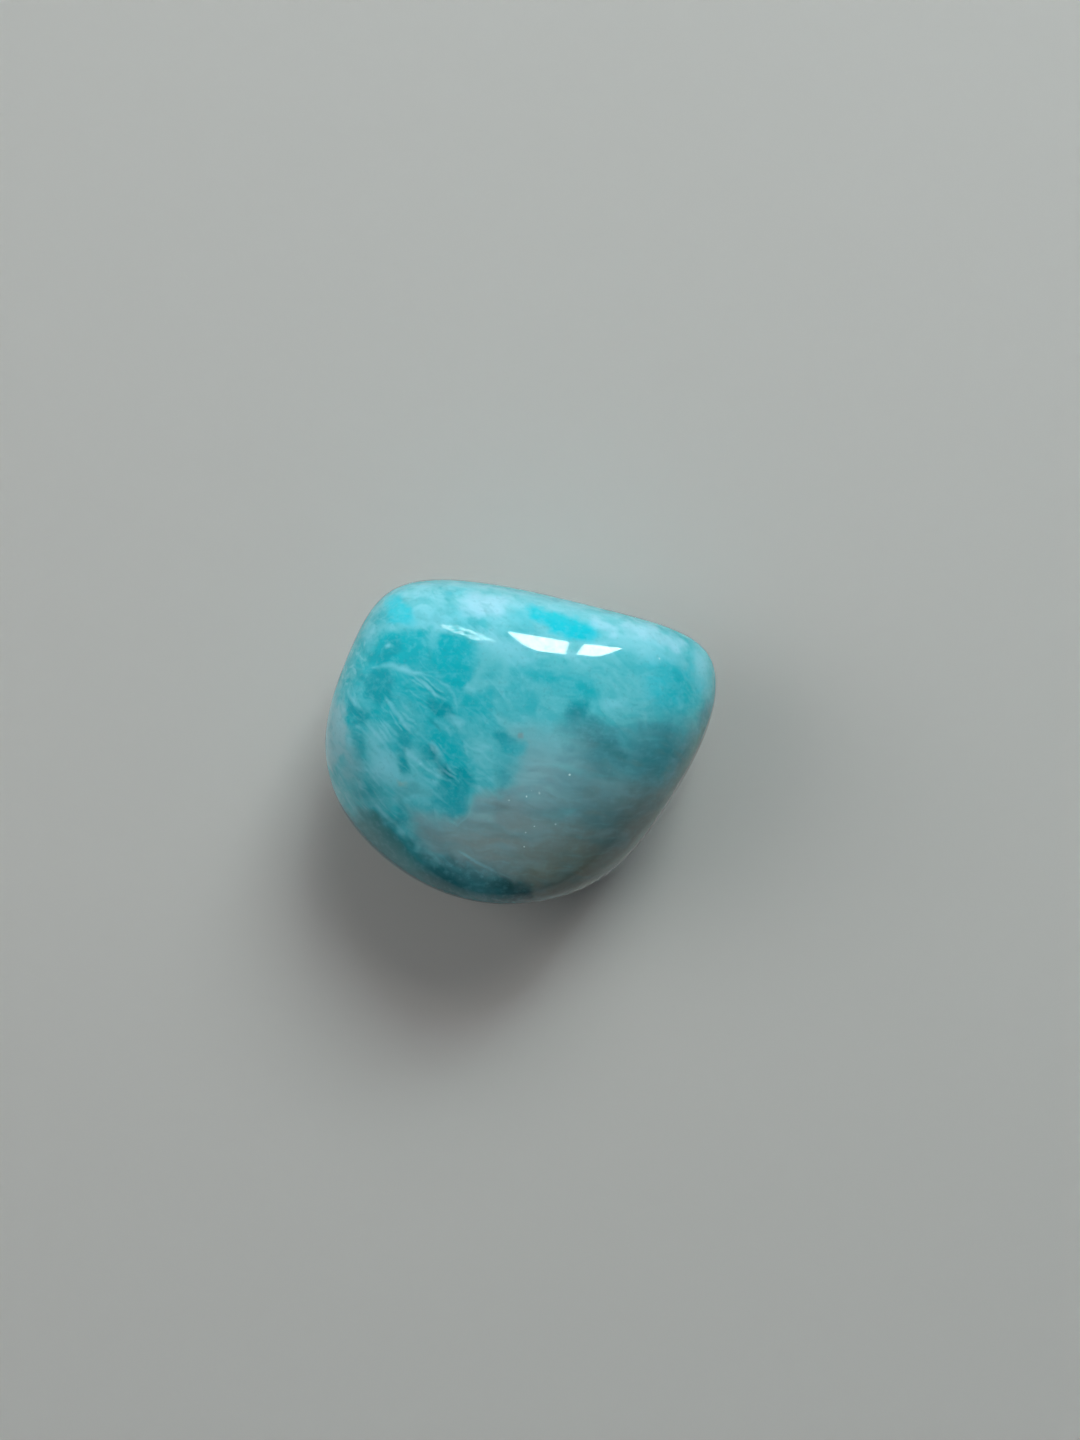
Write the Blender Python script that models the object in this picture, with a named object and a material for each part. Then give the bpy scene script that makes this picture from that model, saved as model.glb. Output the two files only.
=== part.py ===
"""Tumbled amazonite stone: one smooth solid, worn down from a broken chip.

Sizes are in metres. +X is the long way of the stone, +Z is up, and the stone
rests on a small flat spot at Z = 0.
"""
import math

import bmesh
import bpy
from mathutils import Matrix, Vector

MM = 0.001

# The old break faces of the chip. Each one has the compass angle of the way it
# looks (degrees from +X), its lean from straight up (degrees), and its distance
# from the middle of the stone before wear (millimetres).
FACES = (
    # sides
    (101, 86, 17.6),   # long far side
    (75, 90, 14.2),    # slanted side beside the nose
    (22, 92, 21.8),    # shoulder of the nose
    (-6, 86, 19.1),    # nose
    (-33, 84, 15.0),   # near right side
    (-64, 88, 16.0),   # near right corner
    (-93, 90, 15.4),   # near side
    (236, 88, 17.4),   # near left side
    (205, 90, 19.6),   # near left corner
    (181, 90, 21.0),   # left side
    (158, 92, 18.4),   # far left side
    # upper faces
    (-95, 13, 11.5),   # broad top face
    (60, 9, 11.9),     # top face toward the ridge
    (81, 52, 14.8),    # slope behind the ridge
    (-50, 42, 14.6),   # slope above the near right side
    (218, 50, 16.4),   # slope above the near left side
    (10, 38, 15.0),    # slope down to the nose
    (150, 45, 18.0),   # slope above the far left side
    # under faces
    (30, 167, 11.3),   # underside toward the nose
    (150, 168, 11.2),  # underside toward the left
    (270, 166, 11.3),  # underside toward the near side
    (70, 130, 14.4),   # undercut of the far side
    (245, 132, 15.2),  # undercut of the near left side
    (330, 135, 15.0),  # undercut of the near right side
    (155, 135, 17.0),  # undercut of the far left side
)

# How crisp the worn edges between the faces are: a higher number is crisper.
EDGE_POWER = 10.0

# Depth worn flat at the lowest place.
FLAT_DEPTH = 0.18 * MM

# Rows of faces along each of the six patches of the skin.
PATCH_ROWS = 24

# Closest spacing kept along the rim of the flat spot.
RIM_SPACING = 0.12 * MM

STONE_COLOUR = (0.12, 0.42, 0.44, 1.0)
STONE_ROUGHNESS = 0.08


def clear_scene():
    for thing in list(bpy.data.objects):
        bpy.data.objects.remove(thing, do_unlink=True)


def face_vectors():
    """The faces as vectors: direction of look divided by distance."""
    vectors = []
    for compass, lean, distance in FACES:
        flat = math.sin(math.radians(lean))
        look = Vector((
            flat * math.cos(math.radians(compass)),
            flat * math.sin(math.radians(compass)),
            math.cos(math.radians(lean)),
        ))
        vectors.append(look / (distance * MM))
    return vectors


def skin_point(direction, vectors):
    """The point of the worn skin that lies in the given direction."""
    reach = [max(direction.dot(vector), 0.0) for vector in vectors]
    highest = max(reach)
    total = sum((value / highest) ** EDGE_POWER for value in reach)
    return direction / (highest * total ** (1.0 / EDGE_POWER))


def worn_skin():
    """A closed skin of six even patches drawn onto the worn shape."""
    mesh = bmesh.new()
    bmesh.ops.create_cube(mesh, size=2.0)
    bmesh.ops.subdivide_edges(
        mesh, edges=mesh.edges[:], cuts=PATCH_ROWS - 1, use_grid_fill=True
    )
    vectors = face_vectors()
    for vertex in mesh.verts:
        even = [math.tan(value * math.pi / 4.0) for value in vertex.co]
        vertex.co = skin_point(Vector(even).normalized(), vectors)
    return mesh


def wear_flat(mesh):
    """Take the lowest part off level and close it with one flat face."""
    level = min(vertex.co.z for vertex in mesh.verts) + FLAT_DEPTH
    cut = bmesh.ops.bisect_plane(
        mesh,
        geom=mesh.verts[:] + mesh.edges[:] + mesh.faces[:],
        plane_co=Vector((0.0, 0.0, level)),
        plane_no=Vector((0.0, 0.0, -1.0)),
        clear_outer=True,
    )
    rim = [item for item in cut["geom_cut"] if isinstance(item, bmesh.types.BMVert)]
    bmesh.ops.remove_doubles(mesh, verts=rim, dist=RIM_SPACING)
    open_edges = [edge for edge in mesh.edges if edge.is_boundary]
    for vertex in {corner for edge in open_edges for corner in edge.verts}:
        vertex.co.z = level
    bmesh.ops.contextual_create(mesh, geom=open_edges)
    bmesh.ops.recalc_face_normals(mesh, faces=mesh.faces[:])


def set_on_origin(mesh):
    """Put the middle of the outline over the origin, and the flat at Z = 0."""
    low = [min(vertex.co[axis] for vertex in mesh.verts) for axis in range(3)]
    high = [max(vertex.co[axis] for vertex in mesh.verts) for axis in range(3)]
    shift = Vector((-(low[0] + high[0]) / 2.0, -(low[1] + high[1]) / 2.0, -low[2]))
    bmesh.ops.transform(mesh, matrix=Matrix.Translation(shift), verts=mesh.verts[:])


def stone_material():
    material = bpy.data.materials.new("polished_amazonite")
    material.use_nodes = True
    shader = material.node_tree.nodes["Principled BSDF"]
    shader.inputs["Base Color"].default_value = STONE_COLOUR
    shader.inputs["Roughness"].default_value = STONE_ROUGHNESS
    shader.inputs["Metallic"].default_value = 0.0
    return material


def build_stone():
    mesh = worn_skin()
    wear_flat(mesh)
    set_on_origin(mesh)
    for face in mesh.faces:
        face.smooth = True
    data = bpy.data.meshes.new("stone")
    mesh.to_mesh(data)
    mesh.free()
    data.materials.append(stone_material())
    stone = bpy.data.objects.new("stone", data)
    bpy.context.scene.collection.objects.link(stone)
    return stone


clear_scene()
build_stone()
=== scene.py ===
import json
import math

import bmesh
import bpy
import numpy as np
from mathutils import Matrix, Vector


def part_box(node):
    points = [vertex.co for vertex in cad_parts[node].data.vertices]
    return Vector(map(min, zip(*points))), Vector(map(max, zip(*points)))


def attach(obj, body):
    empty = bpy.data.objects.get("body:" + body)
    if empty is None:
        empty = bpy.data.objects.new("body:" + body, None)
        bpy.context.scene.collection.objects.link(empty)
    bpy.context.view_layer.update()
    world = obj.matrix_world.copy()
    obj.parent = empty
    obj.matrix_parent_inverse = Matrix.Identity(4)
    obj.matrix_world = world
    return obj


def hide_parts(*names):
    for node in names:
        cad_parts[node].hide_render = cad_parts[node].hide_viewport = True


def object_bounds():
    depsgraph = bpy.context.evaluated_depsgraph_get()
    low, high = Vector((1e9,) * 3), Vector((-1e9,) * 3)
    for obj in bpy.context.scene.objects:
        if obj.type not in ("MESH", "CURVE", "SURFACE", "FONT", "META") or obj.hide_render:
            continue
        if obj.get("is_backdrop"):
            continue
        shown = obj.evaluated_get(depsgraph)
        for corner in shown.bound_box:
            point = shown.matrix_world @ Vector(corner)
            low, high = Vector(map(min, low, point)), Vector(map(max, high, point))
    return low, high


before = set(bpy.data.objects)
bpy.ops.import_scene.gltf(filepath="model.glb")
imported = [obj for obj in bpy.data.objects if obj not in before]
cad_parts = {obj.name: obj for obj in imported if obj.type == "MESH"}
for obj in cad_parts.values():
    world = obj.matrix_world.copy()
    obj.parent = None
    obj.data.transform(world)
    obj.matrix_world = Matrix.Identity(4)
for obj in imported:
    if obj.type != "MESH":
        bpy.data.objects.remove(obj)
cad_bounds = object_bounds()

MM = 0.001

# The old break faces of the chip: compass angle of the way each one looks
# (degrees from +X), lean from straight up (degrees), and distance from the
# middle of the stone before wear (millimetres).
FACES = np.array((
    # sides
    (101, 86, 17.6),
    (75, 90, 14.2),
    (22, 92, 21.8),
    (-6, 86, 19.1),
    (-33, 84, 15.0),
    (-64, 88, 16.0),
    (-93, 90, 15.4),
    (236, 88, 17.4),
    (205, 90, 19.6),
    (181, 90, 21.0),
    (158, 92, 18.4),
    # upper faces
    (-95, 13, 11.5),
    (60, 9, 11.9),
    (81, 52, 14.8),
    (-50, 42, 14.6),
    (218, 50, 16.4),
    (10, 38, 15.0),
    (150, 45, 18.0),
    # under faces
    (30, 167, 11.3),
    (150, 168, 11.2),
    (270, 166, 11.3),
    (70, 130, 14.4),
    (245, 132, 15.2),
    (330, 135, 15.0),
    (155, 135, 17.0),
))

# How crisp the worn edges between the faces are, the depth worn flat at the lowest
# place (mm), and the rows of faces along each of the skin's six patches.
EDGE_POWER = 10.0
FLAT_DEPTH = 0.18
PATCH_ROWS = 118

# Slow swells left by hand and barrel: number, height of them all (mm), and least and
# most waves round the stone.
SWELL_COUNT = 9
SWELL_HEIGHT = 0.05
SWELL_RATES = (5.0, 11.0)
SWELL_SEED = 4

# Tiny pits left where a soft grain fell out: place seen from above, width, depth (mm).
PITS = (
    (-9.8, -2.0, 0.45, 0.10),
    (-12.0, -5.9, 0.5, 0.08),
    (9.3, -7.6, 0.6, 0.07),
    (-3.0, -11.6, 0.5, 0.07),
    (-15.0, 8.0, 0.5, 0.06),
)


def unit_rows(rows):
    """Each row made one long."""
    return rows / np.linalg.norm(rows, axis=1, keepdims=True)


def face_vectors():
    """The faces as vectors: direction of look divided by distance."""
    compass = np.radians(FACES[:, 0])
    lean = np.radians(FACES[:, 1])
    looks = np.stack((
        np.sin(lean) * np.cos(compass),
        np.sin(lean) * np.sin(compass),
        np.cos(lean),
    ), axis=1)
    return looks / FACES[:, 2:]


FACE_VECTORS = face_vectors()


def depth_ratio(points):
    """1 on the worn skin, less inside it and more outside it."""
    reach = np.maximum(points @ FACE_VECTORS.T, 0.0)
    highest = reach.max(axis=1, keepdims=True)
    total = ((reach / highest) ** EDGE_POWER).sum(axis=1)
    return highest[:, 0] * total ** (1.0 / EDGE_POWER)


def swells(directions):
    """Height of a few soft waves round the stone, in each direction."""
    generator = np.random.default_rng(SWELL_SEED)
    height = np.zeros(len(directions))
    for _ in range(SWELL_COUNT):
        way = unit_rows(generator.normal(size=(1, 3)))[0]
        rate = generator.uniform(*SWELL_RATES)
        start = generator.uniform(0.0, math.tau)
        height += np.sin(directions @ way * rate + start)
    return height * SWELL_HEIGHT / SWELL_COUNT


def worn_stone():
    """The stone's skin as a closed mesh, in millimetres round its middle."""
    mesh = bmesh.new()
    bmesh.ops.create_cube(mesh, size=2.0)
    bmesh.ops.subdivide_edges(
        mesh, edges=mesh.edges[:], cuts=PATCH_ROWS - 1, use_grid_fill=True
    )
    corners = np.array([vertex.co[:] for vertex in mesh.verts])
    directions = unit_rows(np.tan(corners * math.pi / 4.0))
    points = directions / depth_ratio(directions)[:, None]
    lowest = points[:, 2].min() + FLAT_DEPTH
    height = swells(directions)
    for x, y, width, depth in PITS:
        away = np.linalg.norm(points - on_stone(x, y), axis=1)
        height -= depth * np.exp(-(away / width) ** 2)
    points += directions * height[:, None]
    points[:, 2] = np.maximum(points[:, 2], lowest)
    for vertex, point in zip(mesh.verts, points):
        vertex.co = point
    return mesh


# The place of the eye, in millimetres round the stone's middle, the height of one row of
# the picture at the stone's mid height (mm), and the sensor's long side (mm).
EYE = np.array((1.66, 2.0, 130.0))
ROW_HEIGHT = 0.095
PICTURE_ROWS = 1440
SENSOR = 36.0
LENS = SENSOR * EYE[2] / (PICTURE_ROWS * ROW_HEIGHT)

# The stretch of each line of sight that is searched for the skin, as shares of the way
# from the eye to mid height, and the number of places tried on it.
SIGHT_SPAN = (0.85, 1.15)
SIGHT_PLACES = 401


def on_stone(x, y):
    """The point of the skin that the eye sees through the spot (x, y) at mid height."""
    line = np.array((x, y, 0.0)) - EYE
    tried = np.linspace(*SIGHT_SPAN, SIGHT_PLACES)
    ratio = depth_ratio(EYE + line * tried[:, None])
    inside = ratio <= 1.0
    if not inside.any():
        return EYE + line * tried[ratio.argmin()]
    first = inside.argmax()
    share = (ratio[first - 1] - 1.0) / (ratio[first - 1] - ratio[first])
    return EYE + line * (tried[first - 1] + share * (tried[first] - tried[first - 1]))


# Colours of the stone's parts under white light, as they look on a screen. Some also
# stand in for light and shade: the white is painted glints, the shade laid low on the
# clear part is painted glow, and the sea, ink and night blocks are partly painted shade.
SHADES = {
    "deep": (2, 167, 178),
    "darkest": (0, 148, 159),
    "teal": (22, 166, 177),
    "vivid": (0, 190, 206),
    "haze": (92, 184, 193),
    "pale": (126, 202, 214),
    "lilac": (164, 212, 228),
    "quartz": (116, 145, 150),
    "ash": (118, 132, 131),
    "smoke": (98, 115, 112),
    "slate": (46, 114, 123),
    "olive": (108, 112, 97),
    "sea": (0, 116, 122),
    "ink": (0, 84, 92),
    "night": (6, 62, 64),
    "edge": (130, 184, 192),
    # Painted glow of light through the thin low edges of the clear part.
    "painted_edge_glow": (116, 146, 135),
    "beige": (164, 156, 126),
    "brown": (144, 108, 88),
    # Painted glints of light in the cleavages.
    "white": (206, 232, 234),
}

# Soft fields from bottom to top: shade, place seen from above (x, y), half length,
# half width (mm), turn (degrees), softness of the rim, strength.
FIELDS = (
    ("haze", 6.0, 4.5, 12.0, 6.5, -10, 0.6, 0.90),
    ("teal", -10.0, 4.0, 8.0, 7.5, -30, 0.5, 0.85),
    # Partly painted light: these two pale fields make the band along the far slope, paler feldspar
    # and also the brightness of the slope that faces the window.
    ("pale", -5.0, 13.8, 11.0, 2.6, -4, 0.5, 0.95),
    ("pale", 8.5, 10.2, 9.5, 1.9, -18, 0.5, 0.95),
    ("haze", -2.8, 0.0, 2.6, 5.5, 15, 0.5, 0.70),
    ("vivid", 14.8, 5.8, 2.8, 2.4, 20, 0.7, 0.80),
    ("vivid", -5.2, 11.5, 2.6, 0.7, -8, 0.8, 0.30),
    ("vivid", -0.3, 11.7, 1.1, 0.8, 0, 0.8, 0.40),
    ("vivid", -6.2, 14.2, 1.1, 0.5, 0, 0.6, 0.40),
)

# Blocks with straight cleavage sides, from bottom to top: shade, softness of the rim
# (mm), strength, and corners seen from above (x, y) in order round the block.
BLOCKS = (
    ("quartz", 2.2, 0.95, (
        (-0.6, 0.4), (4.5, 0.2), (12.5, -3.5), (19.0, -6.0), (10.0, -19.0), (2.0, -19.0),
        (-2.4, -13.2), (-1.2, -4.4))),
    ("quartz", 0.7, 0.95, (
        (-4.6, -5.4), (0.0, -4.6), (2.0, -14.0), (-1.0, -13.9), (-5.8, -11.8))),
    ("quartz", 1.5, 0.85, (
        (-10.4, -6.8), (-8.2, -7.0), (-4.2, -7.2), (-3.4, -13.6), (-7.0, -12.6),
        (-9.8, -10.4))),
    ("ash", 2.2, 0.85, (
        (-9.4, -7.8), (-4.2, -7.6), (4.0, -5.6), (7.0, -9.0), (4.0, -19.0), (-3.4, -13.0),
        (-9.4, -10.4))),
    # Partly painted shade: this slate block is grey-teal quartz, and it also darkens the right end,
    # which lies away from the light.
    ("slate", 2.8, 0.90, (
        (4.2, 2.2), (12.0, 1.6), (16.0, 2.8), (20.0, 3.6), (18.0, -5.0), (12.0, -4.6),
        (5.4, -2.2))),
    ("smoke", 2.8, 1.0, (
        (-3.4, -9.6), (5.0, -7.0), (12.0, -1.0), (20.0, -1.0), (10.0, -19.0), (0.0, -14.6))),
    ("olive", 1.6, 0.75, (
        (0.0, -12.5), (5.0, -10.5), (8.0, -11.0), (6.0, -13.4), (1.0, -14.0))),
    # From here to the night block, the blocks make the dark band along the lower left and bottom
    # rim: partly the stone's deep teal, partly painted shade that deepens toward the bottom, away
    # from the light.
    ("darkest", 1.0, 0.85, (
        (-19.0, -4.2), (-16.2, -4.8), (-14.8, -5.4), (-12.2, -8.3), (-9.8, -9.4),
        (-12.0, -14.5), (-20.0, -9.0))),
    ("sea", 1.0, 0.90, (
        (-17.0, -5.4), (-15.0, -5.6), (-12.6, -7.8), (-9.4, -9.6), (-6.4, -10.6),
        (-5.0, -17.0), (-14.0, -15.0), (-19.0, -8.0))),
    ("sea", 0.6, 0.95, (
        (-15.4, -6.2), (-13.6, -7.0), (-11.6, -8.9), (-10.6, -10.4), (-12.4, -10.9),
        (-14.6, -9.0))),
    ("ink", 1.0, 0.75, (
        (-9.2, -10.6), (-6.4, -10.6), (-2.6, -12.5), (0.6, -13.4), (1.0, -17.0), (-6.0, -17.0),
        (-9.6, -12.6))),
    ("night", 0.9, 0.70, (
        (-3.2, -13.6), (-0.6, -13.4), (-0.2, -14.2), (-1.6, -14.6), (-3.0, -14.4))),
    ("edge", 0.6, 1.0, (
        (-19.0, 3.6), (-17.2, 3.9), (-16.4, 1.0), (-16.5, -1.8), (-19.0, -2.4))),
    ("teal", 0.7, 0.65, (
        (-14.8, 10.2), (-11.0, 10.7), (-4.1, 9.4), (-6.2, 3.6), (-8.8, 1.9), (-15.2, 3.4))),
    ("haze", 0.5, 0.80, (
        (-14.8, 1.6), (-13.4, 2.3), (-9.4, -2.0), (-9.0, -4.9), (-10.0, -5.6), (-12.6, -4.4),
        (-14.8, -1.6))),
    ("haze", 0.4, 0.75, (
        (-3.6, 8.4), (-1.6, 8.6), (-1.2, 5.0), (-2.6, 4.9), (-5.6, 4.7), (-4.4, 7.0))),
    ("vivid", 0.40, 0.80, (
        (-12.9, 13.3), (-11.7, 13.9), (-10.7, 13.6), (-10.6, 12.4), (-10.1, 11.5), (-10.6, 11.0),
        (-12.5, 11.2), (-12.9, 12.3))),
    ("vivid", 0.40, 1.0, (
        (0.4, 12.4), (2.6, 12.6), (5.2, 12.0), (6.5, 11.2), (7.5, 9.8), (5.3, 9.3), (3.3, 10.1),
        (0.8, 11.4))),
    ("deep", 0.45, 0.90, (
        (-14.8, 9.4), (-13.2, 10.4), (-11.0, 10.6), (-9.4, 10.2), (-9.2, 8.6), (-10.4, 7.3),
        (-14.8, 7.4))),
    ("darkest", 0.45, 0.70, (
        (-13.9, 9.3), (-11.9, 9.8), (-11.6, 8.9), (-12.5, 7.7), (-13.8, 7.7))),
    ("deep", 0.22, 0.95, (
        (-8.3, 9.8), (-6.8, 10.2), (-3.9, 9.2), (-3.8, 8.4), (-5.7, 4.9), (-7.6, 5.8),
        (-8.7, 7.6))),
    ("darkest", 0.40, 0.85, (
        (-15.2, 6.2), (-13.8, 6.8), (-12.2, 6.6), (-11.9, 5.2), (-12.4, 4.0), (-13.4, 3.4),
        (-15.0, 4.2))),
    ("deep", 1.0, 0.45, (
        (-11.6, 6.0), (-9.6, 5.8), (-6.0, 3.4), (-6.6, 2.0), (-9.0, 1.8), (-11.8, 3.6))),
    ("darkest", 0.30, 0.90, (
        (-9.0, 4.3), (-8.0, 4.0), (-6.5, 3.1), (-6.9, 2.1), (-8.2, 2.2), (-9.3, 3.4))),
    ("deep", 0.55, 0.75, (
        (-6.0, 4.7), (-4.2, 4.9), (-2.9, 4.7), (-2.9, 3.2), (-4.3, 2.2), (-5.9, 2.4))),
    ("darkest", 0.50, 0.95, (
        (-16.6, 4.2), (-15.6, 3.8), (-14.4, 2.3), (-14.7, 1.4), (-15.7, 1.5), (-16.3, 2.4))),
    ("darkest", 0.60, 0.70, (
        (-16.1, 1.2), (-15.1, 1.0), (-15.0, -1.2), (-15.7, -2.0), (-16.2, -0.6))),
    ("deep", 0.60, 0.90, (
        (-9.3, 1.3), (-7.8, 1.5), (-6.5, 0.4), (-5.2, -1.6), (-4.9, -3.4), (-6.8, -3.4),
        (-9.2, -0.6))),
    ("darkest", 0.35, 0.72, (
        (-7.4, -2.4), (-5.0, -2.4), (-4.7, -4.8), (-5.3, -7.0), (-6.1, -7.8), (-7.0, -7.3),
        (-8.9, -6.8), (-9.0, -5.4))),
    ("darkest", 0.40, 0.95, (
        (-2.9, 1.2), (-1.4, 0.9), (0.0, -0.2), (0.0, -1.3), (-1.6, -1.2), (-2.7, 0.0))),
    ("darkest", 0.60, 0.70, ((-2.4, -2.5), (-0.7, -2.3), (-0.7, -4.0), (-1.9, -4.4))),
    ("deep", 0.70, 0.80, (
        (-0.7, 7.6), (1.2, 7.4), (2.4, 6.8), (4.2, 6.3), (3.6, 5.3), (1.8, 5.3), (-0.2, 6.2))),
    ("deep", 0.70, 0.80, ((4.2, 6.4), (6.0, 5.9), (7.3, 4.8), (6.9, 3.8), (5.2, 4.2), (4.3, 5.2))),
    ("darkest", 0.80, 0.85, ((4.0, 3.8), (6.1, 3.6), (6.3, 1.6), (4.2, 1.5))),
)

# Shades of the clear blocks, which have streaks of their own, and how far the common
# streaks are kept off the blocks of other shades.
CLEAR_SHADES = ("quartz", "ash", "smoke", "slate", "olive")
CALM_SHADES = {"sea": 1.0, "ink": 1.0, "night": 1.0, "darkest": 0.7, "deep": 0.7, "vivid": 0.7}

# Small soft spots over the blocks, written as the fields are.
SPOTS = (
    ("teal", -3.0, 6.7, 0.8, 0.7, 0, 0.5, 0.60),
    ("teal", 0.9, 3.6, 0.7, 0.9, 0, 0.5, 0.60),
    ("teal", -12.7, -0.2, 0.9, 0.6, -20, 0.5, 0.60),
    ("slate", 5.9, 1.0, 2.0, 1.1, -20, 0.8, 0.70),
    ("darkest", 14.7, 2.6, 0.8, 0.7, -20, 0.8, 0.50),
    ("slate", 13.0, 1.0, 1.4, 0.6, -10, 0.6, 0.40),
    ("teal", 15.3, 7.6, 0.6, 0.6, 0, 0.6, 0.60),
    ("darkest", -13.9, -4.4, 0.5, 0.9, 30, 0.8, 0.60),
    ("pale", -7.9, 10.9, 0.6, 0.4, 0, 0.8, 0.55),
    ("pale", -8.4, 9.7, 0.4, 0.8, 0, 0.8, 0.35),
    ("pale", -12.9, 9.1, 0.22, 0.16, 30, 1.0, 0.60),
    ("pale", -6.4, 1.6, 0.6, 0.35, -20, 1.0, 0.60),
    ("pale", -9.6, -2.1, 0.15, 0.12, 0, 0.6, 0.90),
    ("pale", 4.5, 8.0, 1.0, 0.5, -10, 0.6, 0.60),
    ("pale", -1.4, 8.8, 2.4, 1.1, -15, 0.8, 0.85),
    ("pale", -7.4, 11.4, 1.8, 0.7, -8, 0.8, 0.70),
    ("pale", -1.6, 11.3, 1.2, 0.8, -20, 0.8, 0.60),
    ("haze", -3.4, 7.4, 1.2, 0.8, 0, 0.8, 0.60),
    ("pale", 10.4, 9.2, 2.4, 0.8, -14, 0.8, 0.80),
    ("pale", 16.9, 7.6, 0.9, 1.9, -10, 0.8, 0.80),
    ("pale", -14.6, 10.2, 0.8, 1.0, -20, 0.8, 0.45),
    ("haze", 1.6, -0.6, 2.2, 1.8, 0, 0.9, 0.40),
    ("edge", 2.6, -2.8, 2.6, 2.8, 0, 0.9, 0.45),
    ("slate", 6.0, -5.6, 3.0, 2.2, -15, 0.9, 0.35),
    ("teal", -10.0, 8.0, 1.2, 1.2, 0, 0.8, 0.60),
    ("haze", -13.4, -5.6, 1.0, 0.8, -42, 0.8, 0.50),
    ("pale", -13.4, -1.2, 1.2, 1.7, 0, 0.8, 0.50),
    ("pale", -12.4, -3.2, 1.4, 0.9, -20, 0.8, 0.50),
    ("pale", -11.0, -0.8, 2.0, 0.5, -45, 0.8, 0.35),
    ("haze", -9.9, -5.3, 1.2, 1.0, 0, 0.8, 0.60),
    ("pale", 8.6, 3.6, 0.8, 0.4, 0, 0.6, 0.40),
    ("teal", 14.8, 5.6, 1.6, 2.2, 0, 0.9, 0.60),
    ("slate", 9.3, -1.1, 1.3, 0.7, -18, 0.8, 0.65),
    ("edge", -16.2, -2.6, 0.9, 1.1, -20, 0.8, 0.55),
    ("slate", 17.6, 2.6, 0.7, 1.6, -10, 0.9, 0.60),
    ("teal", -1.0, -1.4, 0.9, 1.0, 0, 0.8, 0.60),
    ("haze", 3.2, 7.2, 1.4, 0.6, -10, 0.8, 0.60),
    ("pale", 14.6, 8.2, 1.4, 0.8, -20, 0.8, 0.50),
    ("edge", 1.0, -3.4, 1.6, 1.4, 0, 0.9, 0.45),
    ("edge", -3.9, -6.8, 0.9, 0.8, 0, 0.9, 0.45),
    ("haze", -10.6, 2.9, 1.0, 0.8, -30, 0.9, 0.50),
    # Partly painted light: the lilac spots on the far slope are paler grains and also the bluish
    # brightness of the slope that faces the window.
    ("lilac", -3.4, 13.1, 1.9, 1.1, 0, 0.6, 0.65),
    ("lilac", 7.6, 11.0, 1.2, 0.6, -20, 0.6, 0.55),
    ("lilac", 12.8, 10.0, 2.4, 0.7, -18, 0.7, 0.55),
    ("teal", -12.3, 1.5, 1.7, 1.0, -40, 0.7, 0.75),
    ("teal", -12.7, -0.4, 0.8, 0.45, 0, 0.7, 0.70),
    ("darkest", -11.3, 0.5, 0.4, 1.0, 25, 0.8, 0.70),
    ("darkest", -11.3, -1.9, 0.4, 1.1, 14, 0.7, 0.90),
    ("darkest", -8.9, -1.4, 0.8, 0.5, -30, 0.8, 0.75),
    ("darkest", -11.6, -7.1, 0.35, 1.0, 5, 0.9, 0.65),
    ("darkest", -15.4, -5.2, 0.7, 0.6, -20, 0.8, 0.60),
    ("darkest", -13.6, 8.1, 0.9, 0.5, 0, 0.8, 0.50),
    ("teal", -13.6, 11.8, 0.8, 0.6, 20, 0.8, 0.50),
    ("slate", -10.9, -4.4, 1.2, 0.5, -10, 0.9, 0.35),
    ("beige", -11.5, -3.9, 0.4, 0.3, 0, 0.6, 0.30),
    ("brown", -0.1, 0.4, 0.25, 0.25, 0, 0.6, 0.35),
)

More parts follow.
